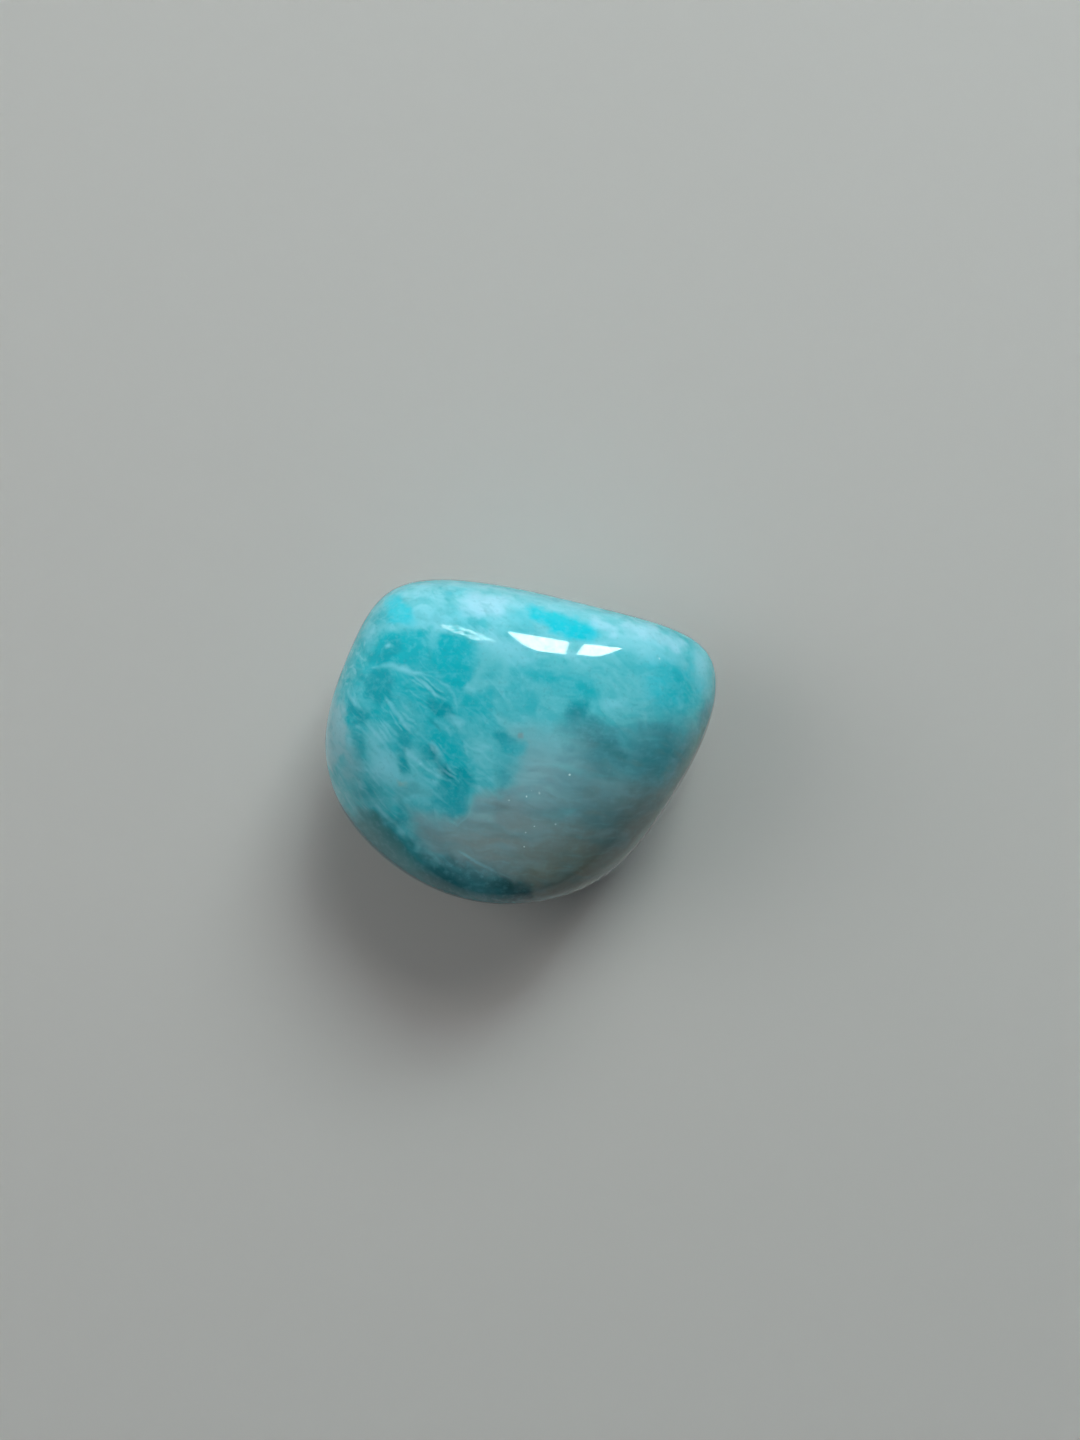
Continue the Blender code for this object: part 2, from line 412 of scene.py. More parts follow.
# Veins: shade, half width (mm), strength, and points seen from above (x, y).
VEINS = (
    ("pale", 0.20, 0.80, ((-14.7, 7.0), (-12.7, 7.1), (-11.2, 6.8), (-10.2, 6.4), (-8.5, 6.1))),
    ("pale", 0.12, 0.60, ((-8.5, 6.1), (-7.1, 5.4), (-6.5, 4.6), (-6.2, 3.6), (-6.2, 2.4))),
    ("pale", 0.13, 0.70, ((-10.8, 6.5), (-9.4, 5.5), (-8.2, 4.5), (-6.6, 3.7))),
    ("darkest", 0.14, 0.60, ((-10.6, 6.4), (-9.6, 5.8), (-8.2, 4.9), (-6.9, 4.0), (-6.2, 3.3))),
    ("pale", 0.14, 0.70, ((-13.8, 5.2), (-12.9, 3.9), (-11.8, 2.5), (-10.7, 1.0), (-9.6, -0.2))),
    ("pale", 0.12, 0.60, ((-12.0, 2.6), (-10.0, 0.8), (-8.3, -0.8), (-7.1, -1.9), (-5.6, -3.0))),
    ("pale", 0.13, 0.65, (
        (-14.2, 2.4), (-12.5, 0.6), (-11.1, -0.8), (-9.8, -2.1), (-7.8, -3.4), (-7.0, -3.9),
        (-5.4, -5.2))),
    ("pale", 0.14, 0.60, ((-15.8, 3.2), (-14.7, 1.7), (-13.4, 0.4), (-12.0, -1.6), (-10.6, -3.0))),
    ("pale", 0.18, 0.75, ((-17.0, 5.6), (-16.4, 4.4), (-15.6, 3.6), (-14.9, 2.6))),
    ("ink", 0.30, 0.60, ((-9.6, 0.2), (-8.8, -0.6), (-8.0, -1.9), (-7.0, -3.2), (-6.3, -4.4))),
    ("pale", 0.12, 0.55, ((-9.4, 0.9), (-8.1, -0.9), (-7.1, -2.3), (-5.8, -3.9))),
    ("pale", 0.13, 0.50, ((-10.6, -2.6), (-9.4, -4.0), (-8.2, -5.2), (-6.9, -6.2))),
    ("pale", 0.16, 0.65, (
        (-16.0, -4.0), (-15.0, -4.6), (-14.2, -5.6), (-13.4, -6.7), (-12.2, -7.8), (-11.0, -8.8))),
    ("pale", 0.35, 0.50, ((-15.0, 10.7), (-12.0, 10.9), (-9.8, 10.8), (-8.2, 10.4))),
    ("pale", 0.10, 0.35, ((-8.0, -9.8), (-6.4, -10.3), (-4.4, -11.5), (-2.6, -12.5), (-0.4, -13.2))),
    ("pale", 0.16, 0.45, ((-8.8, -7.0), (-7.1, -7.5), (-6.0, -8.1), (-5.0, -7.2), (-4.6, -5.8))),
    ("pale", 0.16, 0.40, ((-16.9, -2.2), (-15.4, -2.6), (-13.9, -3.0), (-12.7, -3.9))),
    ("pale", 0.14, 0.45, ((-16.0, 8.6), (-15.3, 7.6), (-14.9, 6.8))),
    ("pale", 0.10, 0.45, ((-5.9, 0.3), (-5.2, -0.9), (-4.8, -1.6))),
    ("slate", 0.22, 0.45, ((3.5, -0.2), (4.4, -0.6), (5.3, -1.0))),
    ("slate", 0.25, 0.60, ((7.3, -0.8), (8.6, -1.1), (9.6, -1.6), (10.5, -1.8))),
    ("smoke", 0.20, 0.40, ((-4.6, -5.7), (-3.0, -6.0), (-1.4, -6.5), (0.4, -7.0))),
    ("smoke", 0.22, 0.30, ((2.2, -5.3), (3.4, -5.6), (4.6, -5.6))),
    ("smoke", 0.20, 0.35, ((5.2, -6.9), (6.6, -6.6), (8.6, -7.2))),
    ("haze", 0.28, 0.22, ((0.8, -6.6), (3.0, -6.9), (5.6, -6.2))),
    ("haze", 0.28, 0.22, ((1.0, -2.2), (3.6, -2.4), (6.4, -3.2), (9.0, -3.4))),
)

# Fans of fine streaks that run side by side: shade, strength, middle seen from above
# (x, y), turn (degrees), number, spread across and longest length (mm).
FANS = (
    ("pale", 0.62, -12.2, 1.2, -50, 9, 5.0, 4.6),
    ("sea", 0.40, -9.6, 0.6, -47, 6, 5.0, 3.6),
    ("pale", 0.60, -8.0, -2.6, -44, 8, 3.8, 4.2),
    ("pale", 0.55, -14.4, -4.8, -50, 6, 3.4, 3.6),
    ("pale", 0.50, -9.4, 4.8, -36, 5, 3.0, 3.4),
    ("pale", 0.40, -12.6, 11.6, -24, 4, 2.4, 2.8),
    ("slate", 0.35, 9.4, -1.6, -12, 5, 3.4, 4.0),
)

# How the streaks of a fan differ: turn either way (degrees), place across (share of
# their spacing), slide either way along (mm), half length (share of the longest), bow
# either way (mm), half width (mm), and share of the fan's strength.
STREAK_TURN = 7.0
STREAK_PLACE = (0.2, 0.8)
STREAK_SLIDE = 1.2
STREAK_HALF = (0.25, 0.5)
STREAK_BOW = 0.12
STREAK_WIDTH = (0.06, 0.11)
STREAK_WEIGHT = (0.6, 1.0)
STREAK_SEED = 11


def fine_streaks():
    """The streaks of every fan, written as the veins are."""
    generator = np.random.default_rng(STREAK_SEED)
    streaks = []
    for shade, strength, x, y, turn, count, spread, length in FANS:
        for number in range(count):
            angle = math.radians(turn + generator.uniform(-STREAK_TURN, STREAK_TURN))
            along = np.array((math.cos(angle), math.sin(angle)))
            across = np.array((-along[1], along[0]))
            aside = ((number + generator.uniform(*STREAK_PLACE)) / count - 0.5) * spread
            slide = generator.uniform(-STREAK_SLIDE, STREAK_SLIDE)
            middle = np.array((x, y)) + across * aside + along * slide
            half = along * length * generator.uniform(*STREAK_HALF)
            bow = middle + across * generator.uniform(-STREAK_BOW, STREAK_BOW)
            width = generator.uniform(*STREAK_WIDTH)
            weight = strength * generator.uniform(*STREAK_WEIGHT)
            streaks.append((shade, width, weight, (middle - half, bow, middle + half)))
    return streaks


# Painted glints: bright specks painted into the colour where a cleavage inside the
# stone catches the light: place seen from above and half width (mm).
PAINTED_GLINTS = (
    (0.5, -5.4, 0.08),
    (1.05, -5.65, 0.07),
    (1.0, -4.9, 0.05),
    (1.75, -5.15, 0.12),
    (2.1, -4.2, 0.05),
    (4.4, -3.1, 0.09),
    (-1.3, -5.8, 0.09),
    (3.2, -7.7, 0.12),
    (1.2, -8.0, 0.06),
    (0.4, -8.6, 0.08),
    (0.2, -9.9, 0.08),
    (-1.5, 3.9, 0.08),
    (2.3, -6.3, 0.05),
    (-12.0, 12.5, 0.09),
    (13.1, 7.9, 0.10),
)


def linear(shade):
    """Screen colour to light, by the usual curve of a screen."""
    part = np.array(shade) / 255.0
    light = np.where(part <= 0.04045, part / 12.92, ((part + 0.055) / 1.055) ** 2.4)
    return (*(float(value) for value in light), 1.0)


class Nodes:
    """Short names for the shader nodes the stone uses.

    Each node is made after the nodes that feed it. The renderer works them out in the
    order they were made, and it holds only a limited number of results at a time.
    """

    def __init__(self, tree):
        self.tree = tree

    def add(self, kind, **settings):
        """A new node of the kind, with the settings."""
        node = self.tree.nodes.new("ShaderNode" + kind)
        for name, value in settings.items():
            setattr(node, name, value)
        return node

    def feed(self, socket, value):
        """Join the socket to another one, or give it a plain value."""
        if isinstance(value, bpy.types.NodeSocket):
            self.tree.links.new(value, socket)
        else:
            socket.default_value = value

    def math(self, operation, a, b=0.0, c=0.0):
        node = self.add("Math", operation=operation)
        for socket, value in zip(node.inputs, (a, b, c)):
            self.feed(socket, value)
        return node.outputs[0]

    def vector(self, operation, a, b=(0.0, 0.0, 0.0)):
        node = self.add("VectorMath", operation=operation)
        self.feed(node.inputs[0], a)
        self.feed(node.inputs[1], b)
        return node.outputs["Value" if operation in ("LENGTH", "DOT_PRODUCT") else "Vector"]

    def scaled(self, a, factor):
        node = self.add("VectorMath", operation="SCALE")
        self.feed(node.inputs[0], a)
        self.feed(node.inputs["Scale"], factor)
        return node.outputs["Vector"]

    def noise(self, place, scale, detail=2.0, roughness=0.5, colour=False):
        node = self.add("TexNoise")
        self.feed(node.inputs["Vector"], place)
        node.inputs["Scale"].default_value = scale
        node.inputs["Detail"].default_value = detail
        node.inputs["Roughness"].default_value = roughness
        return node.outputs["Color" if colour else "Fac"]

    def ramp(self, value, low, high, to_low=0.0, to_high=1.0, smooth=True):
        """Turn low to high into the two other values, and hold those outside.

        A smooth ramp holds them by itself, so only a straight one is clamped.
        """
        kind = "SMOOTHSTEP" if smooth else "LINEAR"
        node = self.add("MapRange", interpolation_type=kind, clamp=not smooth)
        self.feed(node.inputs["Value"], value)
        node.inputs["From Min"].default_value = low
        node.inputs["From Max"].default_value = high
        node.inputs["To Min"].default_value = to_low
        node.inputs["To Max"].default_value = to_high
        return node.outputs["Result"]

    def mix(self, factor, a, b):
        node = self.add("Mix", data_type="RGBA")
        self.feed(node.inputs[0], factor)
        self.feed(node.inputs[6], a)
        self.feed(node.inputs[7], b)
        return node.outputs[2]

    def combined(self, parts):
        node = self.add("CombineXYZ")
        for socket, part in zip(node.inputs, parts):
            self.feed(socket, part)
        return node.outputs[0]

    def parted(self, colour):
        """The three parts of a colour, or of a place given as one."""
        node = self.add("SeparateColor")
        self.feed(node.inputs[0], colour)
        return node.outputs

    def grains(self, place, **settings):
        """Grains of one step across."""
        node = self.add("TexVoronoi", **settings)
        self.feed(node.inputs["Vector"], place)
        node.inputs["Scale"].default_value = 1.0
        return node

    def turned(self, place, turn, grain):
        """Place measured along turned axes, in steps of the grain's length on each."""
        node = self.add("Mapping", vector_type="TEXTURE")
        self.feed(node.inputs["Vector"], place)
        node.inputs["Rotation"].default_value = [math.radians(value) for value in turn]
        node.inputs["Scale"].default_value = grain
        return node.outputs["Vector"]


def grouped(nodes, name, build, *feeds):
    """The value that build makes out of the feeds, in one group node of its own."""
    tree = bpy.data.node_groups.new(name, "ShaderNodeTree")
    for number, feed in enumerate(feeds):
        kind = "NodeSocketVector" if feed.type == "VECTOR" else "NodeSocketFloat"
        tree.interface.new_socket(f"feed_{number}", in_out="INPUT", socket_type=kind)
    tree.interface.new_socket("mask", in_out="OUTPUT", socket_type="NodeSocketFloat")
    source = tree.nodes.new("NodeGroupInput")
    target = tree.nodes.new("NodeGroupOutput")
    tree.links.new(build(Nodes(tree), *source.outputs[:len(feeds)]), target.inputs[0])
    node = nodes.add("Group", node_tree=tree)
    for socket, feed in zip(node.inputs, feeds):
        nodes.feed(socket, feed)
    return node.outputs[0]


def warped(nodes, place, scale, swing, detail=2.0):
    """Place shifted about by noise, so that drawn edges wander."""
    parts = nodes.parted(nodes.noise(place, scale, detail, colour=True))
    shift = [nodes.math("MULTIPLY_ADD", part, swing, -0.5 * swing) for part in parts]
    return nodes.vector("ADD", place, nodes.combined(shift))


# How far a rim wanders at most, rounding of a block's corners, and how far down a
# block goes below its lowest corner (mm).
FRAY = 0.45
CORNER_ROUND = 0.5
BLOCK_DEPTH = 2.5

# A vein fades out over the first number of half widths. It loses up to the second number
# of them toward its ends, between these two shares of its half length.
VEIN_FADE = 2.4
VEIN_LOSS = 1.8
VEIN_ENDS = (0.3, 1.1)


def field_mask(nodes, place, fray, centre, half, turn, soft, strength):
    """Strength inside a rounded field, falling to nothing across its frayed rim."""
    offset = nodes.vector("SUBTRACT", place, centre)
    angle = math.radians(turn)
    axes = (
        (math.cos(angle), math.sin(angle), 0.0),
        (-math.sin(angle), math.cos(angle), 0.0),
        (0.0, 0.0, 1.0),
    )
    local = nodes.combined([
        nodes.vector("DOT_PRODUCT", offset, tuple(part / size for part in axis))
        for axis, size in zip(axes, half)
    ])
    square = nodes.vector("MULTIPLY", local, local)
    fourth = nodes.vector("DOT_PRODUCT", square, square)
    ragged = min(soft, FRAY / half[1])
    reach = nodes.math("MULTIPLY_ADD", fray, ragged, nodes.math("POWER", fourth, 0.25))
    return nodes.ramp(reach, 1.0 - soft, 1.0 + soft, strength, 0.0)


def block_mask(nodes, place, fray, corners, soft, strength):
    """Strength inside a block whose straight sides run away from the eye."""
    spots = [on_stone(*corner) for corner in corners]
    middle = sum(spots) / len(spots)
    lowest = min(spot[2] for spot in spots)
    down = np.array((0.0, 0.0, -1.0))
    sides = [(down, -(lowest - BLOCK_DEPTH))]
    for start, end in zip(spots, spots[1:] + spots[:1]):
        side = np.cross(start - EYE, end - EYE)
        side /= np.linalg.norm(side)
        if (middle - start) @ side > 0.0:
            side = -side
        sides.append((side, start @ side))
    reach = None
    for side, distance in sides:
        along = nodes.vector("DOT_PRODUCT", place, tuple(side))
        beyond = nodes.math("SUBTRACT", along, float(distance))
        if reach is None:
            reach = beyond
        else:
            reach = nodes.math("SMOOTH_MAX", reach, beyond, CORNER_ROUND)
    reach = nodes.math("MULTIPLY_ADD", fray, min(soft, FRAY), reach)
    return nodes.ramp(reach, -soft, soft, strength, 0.0)


def vein_mask(nodes, place, points, width, strength):
    """Strength along a line through the points, falling off sideways and to its ends."""
    spots = [on_stone(*point) for point in points]
    nearest = None
    for start, end in zip(spots, spots[1:]):
        along = end - start
        offset = nodes.vector("SUBTRACT", place, tuple(start))
        share = nodes.vector("DOT_PRODUCT", offset, tuple(along / (along @ along)))
        held = nodes.add("Clamp")
        nodes.feed(held.inputs["Value"], share)
        foot = nodes.scaled(tuple(along), held.outputs[0])
        reach = nodes.vector("LENGTH", nodes.vector("SUBTRACT", offset, foot))
        nearest = reach if nearest is None else nodes.math("MINIMUM", nearest, reach)
    middle = (spots[0] + spots[-1]) / 2.0
    half = float(np.linalg.norm(spots[-1] - spots[0])) / 2.0
    away = nodes.vector("LENGTH", nodes.vector("SUBTRACT", place, tuple(middle)))
    ends = [share * half for share in VEIN_ENDS]
    loss = nodes.ramp(away, *ends, 0.0, VEIN_LOSS * width)
    reach = nodes.math("ADD", nearest, loss)
    return nodes.ramp(reach, 0.0, VEIN_FADE * width, strength, 0.0)


# Below, a noise is given by its scale (per mm), detail and roughness. A span gives two
# values and what these are turned into.

# Slow clouds of teal and haze.
CLOUD_NOISE = (0.2, 4.0, 0.55)
CLOUD_SPAN = (0.4, 0.6, 0.0, 1.0)

# Large and small grains: turn (degrees), size (mm) and softness of the joins. The spans
# turn a grain's chance into how deep or how pale it is.
LARGE_GRAINS = ((20.0, 35.0, -40.0), (5.0, 2.6, 3.4), 0.3)
LARGE_DEEP = (0.5, 0.8, 0.0, 0.6)
LARGE_PALE = (0.7, 0.9, 0.0, 0.5)
SMALL_GRAINS = ((10.0, 25.0, -48.0), (3.4, 1.8, 2.4), 0.35)
SMALL_DEEP = (0.5, 0.8, 0.0, 0.40)
SMALL_PALE = (0.55, 0.85, 0.0, 0.35)

# Pale joins between the small grains: where they show, and their span from the join.
JOIN_NOISE = (0.5, 3.0, 0.5)
JOIN_PLACES = (0.45, 0.62, 0.0, 0.28)
JOIN_SPAN = (0.0, 0.16, 1.0, 0.0)

# Veils of streaks: turn (degrees), size of a streak (mm), span of the noise, strength,
# and shade. The low ones lie under the blocks, the high ones over them, and the clear
# ones in the clear blocks.
LOW_VEILS = (
    ((0.0, 12.0, -47.0), (4.0, 1.2, 1.8), (0.46, 0.64), 0.45, "deep"),
    ((0.0, 10.0, -52.0), (3.4, 0.9, 1.6), (0.50, 0.68), 0.45, "haze"),
    ((0.0, 8.0, -42.0), (3.4, 0.6, 1.2), (0.54, 0.72), 0.50, "pale"),
    ((0.0, 5.0, -8.0), (3.6, 1.0, 1.6), (0.48, 0.70), 0.40, "haze"),
    ((0.0, 5.0, -12.0), (3.2, 1.0, 1.6), (0.50, 0.70), 0.35, "teal"),
)
HIGH_VEILS = (
    ((0.0, 9.0, -50.0), (3.0, 0.7, 1.2), (0.54, 0.76), 0.18, "haze"),
    ((0.0, 8.0, -46.0), (3.6, 0.4, 1.0), (0.56, 0.76), 0.16, "pale"),
    ((0.0, 8.0, -43.0), (3.4, 0.8, 1.4), (0.52, 0.72), 0.25, "darkest"),
    ((0.0, 5.0, -6.0), (3.6, 0.7, 1.4), (0.52, 0.74), 0.22, "haze"),
    ((0.0, 5.0, -9.0), (3.2, 0.5, 1.0), (0.54, 0.76), 0.10, "pale"),
)
CLEAR_VEILS = (
    ((0.0, 5.0, -8.0), (4.2, 1.2, 1.8), (0.40, 0.72), 0.30, "slate"),
    ((0.0, 5.0, -3.0), (3.6, 1.2, 1.6), (0.44, 0.74), 0.20, "edge"),
    ((0.0, 5.0, -14.0), (3.0, 1.0, 1.6), (0.46, 0.72), 0.25, "smoke"),
    ((0.0, 5.0, -6.0), (3.0, 0.4, 0.8), (0.55, 0.78), 0.10, "edge"),
)

# The noise of every veil, with its scale counted by the veil's own size of a streak.
VEIL_NOISE = (1.0, 2.0, 0.45)

# Veils that are turned further than this (degrees) slant across the left half.
SLANT = -30.0


def laid(nodes, colour, mask, shade):
    """Colour with the shade laid over it by the mask."""
    return nodes.mix(mask, colour, linear(SHADES[shade]))


def grain_chances(nodes, place, softness):
    """Three chances, each the same all over a grain."""
    grain = nodes.grains(place, feature="SMOOTH_F1")
    grain.inputs["Smoothness"].default_value = softness
    return nodes.parted(grain.outputs["Color"])


def clouds(nodes, drift):
    """Slow clouds and large grains of pale and deep feldspar, all round the stone."""
    cloud = nodes.ramp(nodes.noise(drift, *CLOUD_NOISE), *CLOUD_SPAN)
    colour = laid(nodes, linear(SHADES["teal"]), cloud, "haze")
    turn, size, softness = LARGE_GRAINS
    chance = grain_chances(nodes, nodes.turned(drift, turn, size), softness)
    colour = laid(nodes, colour, nodes.ramp(chance[0], *LARGE_DEEP), "deep")
    colour = laid(nodes, colour, nodes.ramp(chance[1], *LARGE_PALE), "pale")
    return colour


def veiled(nodes, colour, place, turn, grain, span, strength, shade, where):
    """Colour with a veil of parallel growth streaks over it."""
    streak = nodes.noise(nodes.turned(place, turn, grain), *VEIL_NOISE)
    veil = nodes.math("MULTIPLY", nodes.ramp(streak, *span, 0.0, strength), where)
    return laid(nodes, colour, veil, shade)


def mosaic(nodes, colour, place, where):
    """Colour broken into small interlocked grains, paler along some of their joins."""
    turn, size, softness = SMALL_GRAINS
    local = nodes.turned(place, turn, size)
    chance = grain_chances(nodes, local, softness)
    deeper = nodes.math("MULTIPLY", nodes.ramp(chance[0], *SMALL_DEEP), where)
    paler = nodes.math("MULTIPLY", nodes.ramp(chance[1], *SMALL_PALE), where)
    colour = laid(nodes, colour, deeper, "deep")
    colour = laid(nodes, colour, paler, "haze")
    away = nodes.grains(local, feature="DISTANCE_TO_EDGE").outputs["Distance"]
    broken = nodes.ramp(nodes.noise(place, *JOIN_NOISE), *JOIN_PLACES)
    join = nodes.math("MULTIPLY", nodes.ramp(away, *JOIN_SPAN), broken)
    return laid(nodes, colour, nodes.math("MULTIPLY", join, where), "pale")


def lay_veils(nodes, colour, place, veils, slanting, level):
    """Veils over the colour. Slanting ones go by one mask, level ones by the other."""
    for turn, grain, span, strength, shade in veils:
        where = slanting if turn[2] < SLANT else level
        colour = veiled(nodes, colour, place, turn, grain, span, strength, shade, where)
    return colour


# A field goes this share of its half width down and up from the skin, and no less than
# the half depths below (mm).
DEPTH_SHARE = 0.8
FIELD_DEPTH = 3.0
SPOT_DEPTH = 1.5

# Turns the strength of a new block into what is left of the clear ones under it.
BLOCK_COVER = (0.0, 0.6, 1.0, 0.0)


def lay_fields(nodes, colour, place, fray, fields, least_depth):
    """Colour with the soft fields on it."""
    for shade, x, y, length, width, *rest in fields:
        centre = tuple(on_stone(x, y))
        half = (length, width, max(least_depth, DEPTH_SHARE * width))
        mask = grouped(
            nodes, "field",
            lambda part, spot, edge: field_mask(part, spot, edge, centre, half, *rest),
            place, fray,
        )
        colour = laid(nodes, colour, mask, shade)
    return colour


def lay_blocks(nodes, colour, place, fray):
    """Colour with the blocks on it, a mask of the clear ones and one of the calm ones."""
    clear = 0.0
    calm = 0.0
    for shade, soft, strength, corners in BLOCKS:
        mask = grouped(
            nodes, "block",
            lambda part, spot, edge: block_mask(part, spot, edge, corners, soft, strength),
            place, fray,
        )
        colour = laid(nodes, colour, mask, shade)
        left = nodes.ramp(mask, *BLOCK_COVER)
        if shade in CLEAR_SHADES:
            clear = nodes.math("MAXIMUM", clear, mask)
        else:
            clear = nodes.math("MULTIPLY", clear, left)
        if shade in CALM_SHADES:
            calmed = nodes.math("MULTIPLY", mask, CALM_SHADES[shade])
            calm = nodes.math("MAXIMUM", calm, calmed)
    return colour, clear, calm


def lay_veins(nodes, colour, place, fading):
    """Colour with the veins and fine streaks on it, weakened by the fading."""
    for shade, width, strength, points in (*VEINS, *fine_streaks()):
        mask = grouped(
            nodes, "vein",
            lambda part, spot: vein_mask(part, spot, points, width, strength),
            place,
        )
        colour = laid(nodes, colour, nodes.math("MULTIPLY", mask, fading), shade)
    return colour


# How far places wander: scale of the noise (per mm), swing (mm) and detail.
DRIFT = (0.3, 1.0, 2.0)
RAGGED = (0.9, 0.5, 2.0)
TWIST = (0.33, 1.6, 1.0)
FINE = (1.6, 0.22, 2.0)

# Wisps that fray the rims of fields and blocks.
WISP_NOISE = (0.6, 2.0, 0.4)
WISP_SPAN = (0.3, 0.7, -0.9, 0.9)

# Slanting veils weaken from left to right (mm along X). Small grains and the low level
# veils weaken up the far slope (mm along Y).
LEFTWARD = (-4.0, 2.0, 1.0, 0.3)
FAR_SLOPE = (8.5, 11.5, 1.0, 0.35)

# Turns the clear and calm blocks into what is left of the common streaks on them.
CLOUDY = (0.0, 1.0, 1.0, 0.1)

# Painted glow: the clear part is painted paler low down, for light that comes through
# its thin edges, by height over the middle (mm).
PAINTED_GLOW_HEIGHTS = (3.8, 7.6, 0.6, 0.0)

# Where the veins fade.
FADING_NOISE = (0.45, 2.0, 0.5)
FADING_SPAN = (0.38, 0.60, 0.5, 1.0)

# Fine pale mottle and dark flecks, and what is left of them on the clear blocks.
MOTTLE_NOISE = (1.6, 3.0, 0.6)
MOTTLE_SPAN = (0.46, 0.72, 0.0, 0.14)
FLECK_NOISE = (2.6, 4.0, 0.6)
FLECK_SPAN = (0.52, 0.72, 0.0, 0.16)
GRAINY = (0.0, 1.0, 1.0, 0.35)

# A painted glint fades out between the first and the second number of half widths.
GLINT_EDGES = (0.3, 1.5)
GLINT_STRENGTH = 0.8

# The polish, and the little light that goes in and out through the skin.
REFRACTION = 1.53
SMEAR_NOISE = (0.35, 3.0, 0.5)
ROUGHNESS_SPAN = (0.3, 0.7, 0.03, 0.06)
GLOW_WEIGHT = 0.2
GLOW_COLOURS = (0.5, 1.0, 1.0)
GLOW_DEPTH = 0.8 * MM


def amazonite():
    """The stone's material: its pattern from the inside out, with some painted light and
    shade in it, then its polish.
    """
    material = bpy.data.materials.new("polished_amazonite")
    material.use_nodes = True
    nodes = Nodes(material.node_tree)
    shader = material.node_tree.nodes["Principled BSDF"]
    object_place = nodes.add("TexCoord").outputs["Object"]
    place = nodes.scaled(object_place, 1.0 / MM)
    drift = warped(nodes, place, *DRIFT)
    ragged = warped(nodes, drift, *RAGGED)
    twisted = warped(nodes, place, *TWIST)
    fine = warped(nodes, drift, *FINE)
    wisps = nodes.noise(drift, *WISP_NOISE)
    fray = nodes.ramp(wisps, *WISP_SPAN, smooth=False)

    parts = nodes.add("SeparateXYZ")
    nodes.feed(parts.inputs[0], drift)
    leftward = nodes.ramp(parts.outputs["X"], *LEFTWARD)
    near = nodes.ramp(parts.outputs["Y"], *FAR_SLOPE)

    colour = clouds(nodes, drift)
    colour = lay_fields(nodes, colour, ragged, fray, FIELDS, FIELD_DEPTH)
    colour = mosaic(nodes, colour, twisted, near)
    colour = lay_veils(nodes, colour, twisted, LOW_VEILS, leftward, near)
    colour, clear, calm = lay_blocks(nodes, colour, ragged, fray)
    colour = lay_fields(nodes, colour, ragged, fray, SPOTS, SPOT_DEPTH)
    cloudy = nodes.ramp(nodes.math("MAXIMUM", clear, calm), *CLOUDY)
    cloudy_left = nodes.math("MULTIPLY", leftward, cloudy)
    colour = lay_veils(nodes, colour, twisted, HIGH_VEILS, cloudy_left, cloudy)
    colour = lay_veils(nodes, colour, twisted, CLEAR_VEILS, clear, clear)
    # Painted glow: the clear part is painted paler below the heights given above.
    painted_glow_mask = nodes.math("MULTIPLY", nodes.ramp(parts.outputs["Z"], *PAINTED_GLOW_HEIGHTS), clear)
    colour = laid(nodes, colour, painted_glow_mask, "painted_edge_glow")

    fading = nodes.ramp(nodes.noise(place, *FADING_NOISE), *FADING_SPAN)
    colour = lay_veins(nodes, colour, fine, fading)
    grainy = nodes.ramp(clear, *GRAINY)
    mottle = nodes.ramp(nodes.noise(place, *MOTTLE_NOISE), *MOTTLE_SPAN)
    colour = laid(nodes, colour, nodes.math("MULTIPLY", mottle, grainy), "pale")
    flecks = nodes.ramp(nodes.noise(place, *FLECK_NOISE), *FLECK_SPAN)
    colour = laid(nodes, colour, nodes.math("MULTIPLY", flecks, grainy), "slate")
    # Painted glints: white specks laid into the base colour where cleavages catch the light.
    for x, y, width in PAINTED_GLINTS:
        offset = nodes.vector("SUBTRACT", fine, tuple(on_stone(x, y)))
        away = nodes.vector("LENGTH", offset)
        edges = [share * width for share in GLINT_EDGES]
        mask = nodes.ramp(away, *edges, GLINT_STRENGTH, 0.0)
        colour = laid(nodes, colour, mask, "white")

    nodes.feed(shader.inputs["Base Color"], colour)
    shader.inputs["IOR"].default_value = REFRACTION
    shader.inputs["Subsurface Weight"].default_value = GLOW_WEIGHT
    shader.inputs["Subsurface Radius"].default_value = GLOW_COLOURS
    shader.inputs["Subsurface Scale"].default_value = GLOW_DEPTH
    smear = nodes.noise(place, *SMEAR_NOISE)
    nodes.feed(shader.inputs["Roughness"], nodes.ramp(smear, *ROUGHNESS_SPAN))
    return material


def build_stone():
    """The finished stone, laid on the solid it stands for, and how far it was moved."""
    mesh = worn_stone()
    for face in mesh.faces:
        face.smooth = True
    data = bpy.data.meshes.new("polished_stone")
    mesh.to_mesh(data)
    mesh.free()
    stone = bpy.data.objects.new("polished_stone", data)
    bpy.context.scene.collection.objects.link(stone)
    low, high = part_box("stone")
    data.transform(Matrix.Diagonal((MM, MM, MM, 1.0)))
    corners = np.array([vertex.co[:] for vertex in data.vertices])
    middle = (corners.min(axis=0) + corners.max(axis=0)) / 2.0
    shift = Vector((
        (low[0] + high[0]) / 2.0 - middle[0],
        (low[1] + high[1]) / 2.0 - middle[1],
        low[2] - corners[:, 2].min(),
    ))
    stone.location = shift
    data.materials.append(amazonite())
    return stone, shift


stone, shift = build_stone()
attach(stone, "root")
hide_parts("stone")


def plain(name, shade, roughness):
    """A material of one shade."""
    material = bpy.data.materials.new(name)
    material.use_nodes = True
    shader = material.node_tree.nodes["Principled BSDF"]
    shader.inputs["Base Color"].default_value = linear(shade)
    shader.inputs["Roughness"].default_value = roughness
    return material


